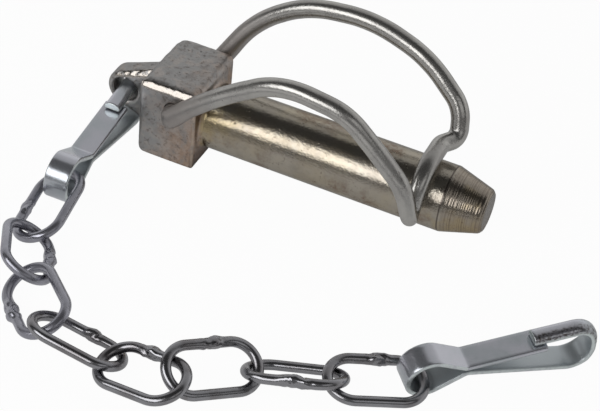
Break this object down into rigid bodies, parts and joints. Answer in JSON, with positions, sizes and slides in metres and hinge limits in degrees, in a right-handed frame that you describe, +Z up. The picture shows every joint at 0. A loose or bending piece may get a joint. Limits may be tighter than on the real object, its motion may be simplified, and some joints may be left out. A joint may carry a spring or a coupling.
{
  "type": "lynch pin",
  "caption": "Lynch pin with a square head, a tapered round shank, a sprung wire bail and a short chain from the lug to a spare snap hook.",
  "frame": {"origin": "on the shank's axis at the shoulder, where the shank meets the head", "axes": "+X along the shank to its tip, +Y along the bail's pivot away from the chain's side, +Z up from the surface it lies on"},
  "size_m": [0.1325, 0.1064, 0.0408],
  "materials": {
    "plated_forging": "zinc plated forging, worn and pitted",
    "plated_wire": "drawn wire, satin",
    "plated_strip": "bent strip, satin",
    "plated_link": "welded wire, glossy"
  },
  "bodies": {
    "pin": {"pin": "plated_forging"},
    "bail": {"bail": "plated_wire"},
    "lug_hook": {"lug_hook": "plated_strip"},
    "link_1": {"link_1": "plated_link"},
    "link_2": {"link_2": "plated_link"},
    "link_3": {"link_3": "plated_link"},
    "link_4": {"link_4": "plated_link"},
    "link_5": {"link_5": "plated_link"},
    "link_6": {"link_6": "plated_link"},
    "link_7": {"link_7": "plated_link"},
    "link_8": {"link_8": "plated_link"},
    "free_hook": {"free_hook": "plated_strip"}
  },
  "joints": [
    {"name": "bail_hinge", "type": "hinge", "parent": "pin", "child": "bail", "pos_m": [-0.0058, 0, 0.005], "axis": [0, -1, 0], "range_deg": [0, 135]},
    {"name": "lug_hook_swing", "type": "hinge", "parent": "pin", "child": "lug_hook", "pos_m": [-0.0224, 0, 0.0002], "axis": [0, -1, 0], "range_deg": [-175, 5]},
    {"name": "link_1_swing", "type": "hinge", "parent": "lug_hook", "child": "link_1", "pos_m": [-0.02031, -0.03497, -0.0031], "axis": [0.9976, 0.053, -0.0436], "range_deg": [-100, 145]},
    {"name": "link_2_swing", "type": "hinge", "parent": "link_1", "child": "link_2", "pos_m": [-0.02207, -0.05223, -0.00825], "axis": [0.784, -0.588, 0.1993], "range_deg": [-90, 15]},
    {"name": "link_3_swing", "type": "hinge", "parent": "link_2", "child": "link_3", "pos_m": [-0.00819, -0.06442, -0.00591], "axis": [-0.0206, -0.8874, 0.4605], "range_deg": [-45, 120]},
    {"name": "link_4_swing", "type": "hinge", "parent": "link_3", "child": "link_4", "pos_m": [-0.00061, -0.07997, -0.00524], "axis": [0.8542, 0.2586, 0.4512], "range_deg": [-110, 25]},
    {"name": "link_5_swing", "type": "hinge", "parent": "link_4", "child": "link_5", "pos_m": [0.01537, -0.0812, -0.0054], "axis": [0.786, 0.5021, -0.3608], "range_deg": [0, 155]},
    {"name": "link_6_swing", "type": "hinge", "parent": "link_5", "child": "link_6", "pos_m": [0.03375, -0.08105, -0.0026], "axis": [0.0938, 0.9827, 0.16], "range_deg": [0, 95]},
    {"name": "link_7_swing", "type": "hinge", "parent": "link_6", "child": "link_7", "pos_m": [0.04286, -0.06395, -0.00625], "axis": [0.6111, -0.6382, -0.4682], "range_deg": [-180, 25]},
    {"name": "link_8_swing", "type": "hinge", "parent": "link_7", "child": "link_8", "pos_m": [0.06112, -0.06305, -0.00347], "axis": [0.2735, 0.8826, -0.3825], "range_deg": [0, 125]},
    {"name": "free_hook_swing", "type": "hinge", "parent": "link_8", "child": "free_hook", "pos_m": [0.07467, -0.04974, -0.0067], "axis": [-0.7198, 0.6797, 0.1409], "range_deg": [-140, 15]}
  ]
}
